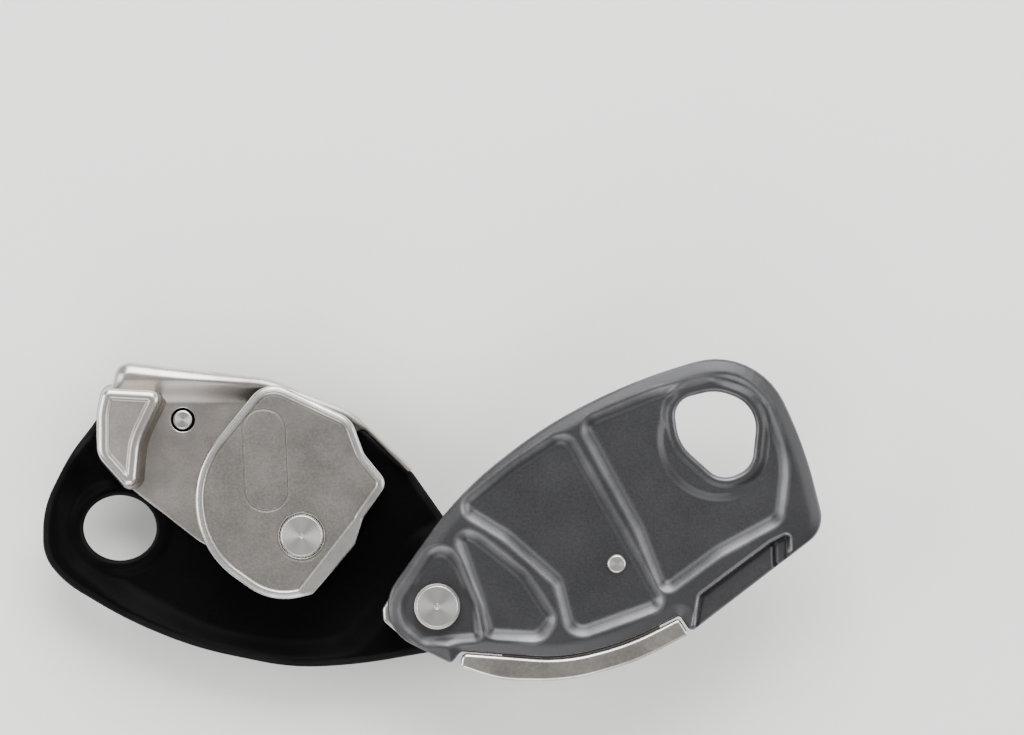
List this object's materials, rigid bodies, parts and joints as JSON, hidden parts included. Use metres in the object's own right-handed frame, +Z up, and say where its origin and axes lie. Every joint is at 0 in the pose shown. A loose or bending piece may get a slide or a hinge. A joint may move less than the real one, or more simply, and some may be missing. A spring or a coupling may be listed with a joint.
{
  "type": "belay device",
  "caption": "Assisted-braking rope belay device, side plate swung open, with an eccentric cam, friction plate, release handle and mode selector.",
  "frame": {"origin": "on the surface it lies on, under the middle of its footprint with the side plate open as stored", "axes": "+X along the open device from the fixed eye to the moving plate, +Z up through the side that takes the rope, parallel to the cam axle"},
  "size_m": [0.1618, 0.0664, 0.0316],
  "materials": {
    "black_anodised_aluminium": "black anodised, satin",
    "grey_anodised_aluminium": "dark grey anodised, satin",
    "stainless_steel": "bead blasted stainless",
    "spring_steel": "oiled spring steel",
    "bronze": "sintered bronze",
    "glass_filled_nylon": "moulded black nylon",
    "zinc_plated_steel": "zinc plated"
  },
  "bodies": {
    "fixed_side": {"fixed_side_plate": "black_anodised_aluminium", "friction_plate": "stainless_steel", "friction_plate_rivets": "stainless_steel", "brake_anvil": "stainless_steel", "plate_pivot_post": "stainless_steel", "pivot_washer": "spring_steel", "cam_axle": "stainless_steel", "axle_retaining_ring": "spring_steel", "cam_stop_pin": "stainless_steel", "cam_return_spring": "spring_steel", "mode_wave_washer": "spring_steel"},
    "cam": {"cam": "stainless_steel", "cam_bush": "bronze", "cam_drive_pin": "stainless_steel"},
    "moving_side": {"moving_side_plate": "grey_anodised_aluminium", "wear_strip": "stainless_steel", "strip_rivet": "stainless_steel", "moving_plate_bush": "bronze"},
    "handle": {"handle_lever": "glass_filled_nylon", "handle_core": "stainless_steel", "handle_bush": "bronze", "anti_panic_spring": "spring_steel", "handle_cap": "glass_filled_nylon", "handle_cap_screws": "zinc_plated_steel"},
    "selector": {"mode_knob": "glass_filled_nylon", "mode_shaft": "stainless_steel"}
  },
  "joints": [
    {"name": "side_plate_swing", "type": "hinge", "parent": "fixed_side", "child": "moving_side", "pos_m": [0.00161, -0.01774, 0.0284], "axis": [0, 0, 1], "range_deg": [-25, 135]},
    {"name": "cam_pivot", "type": "hinge", "parent": "fixed_side", "child": "cam", "pos_m": [-0.02649, -0.00334, 0.0202], "axis": [0, 0, 1], "range_deg": [-38, 0], "stiffness_Nm_per_rad": 0.06, "springref_deg": 20.05, "deforming": ["cam_return_spring"]},
    {"name": "handle_pivot", "type": "hinge", "parent": "fixed_side", "child": "handle", "pos_m": [-0.02649, -0.00334, 0.0049], "axis": [0, 0, 1], "range_deg": [0, 113], "deforming": ["anti_panic_spring"]},
    {"name": "mode_selector_turn", "type": "hinge", "parent": "fixed_side", "child": "selector", "pos_m": [-0.05169, 0.02056, 0.0072], "axis": [0, 0, 1], "range_deg": [0, 90]}
  ]
}
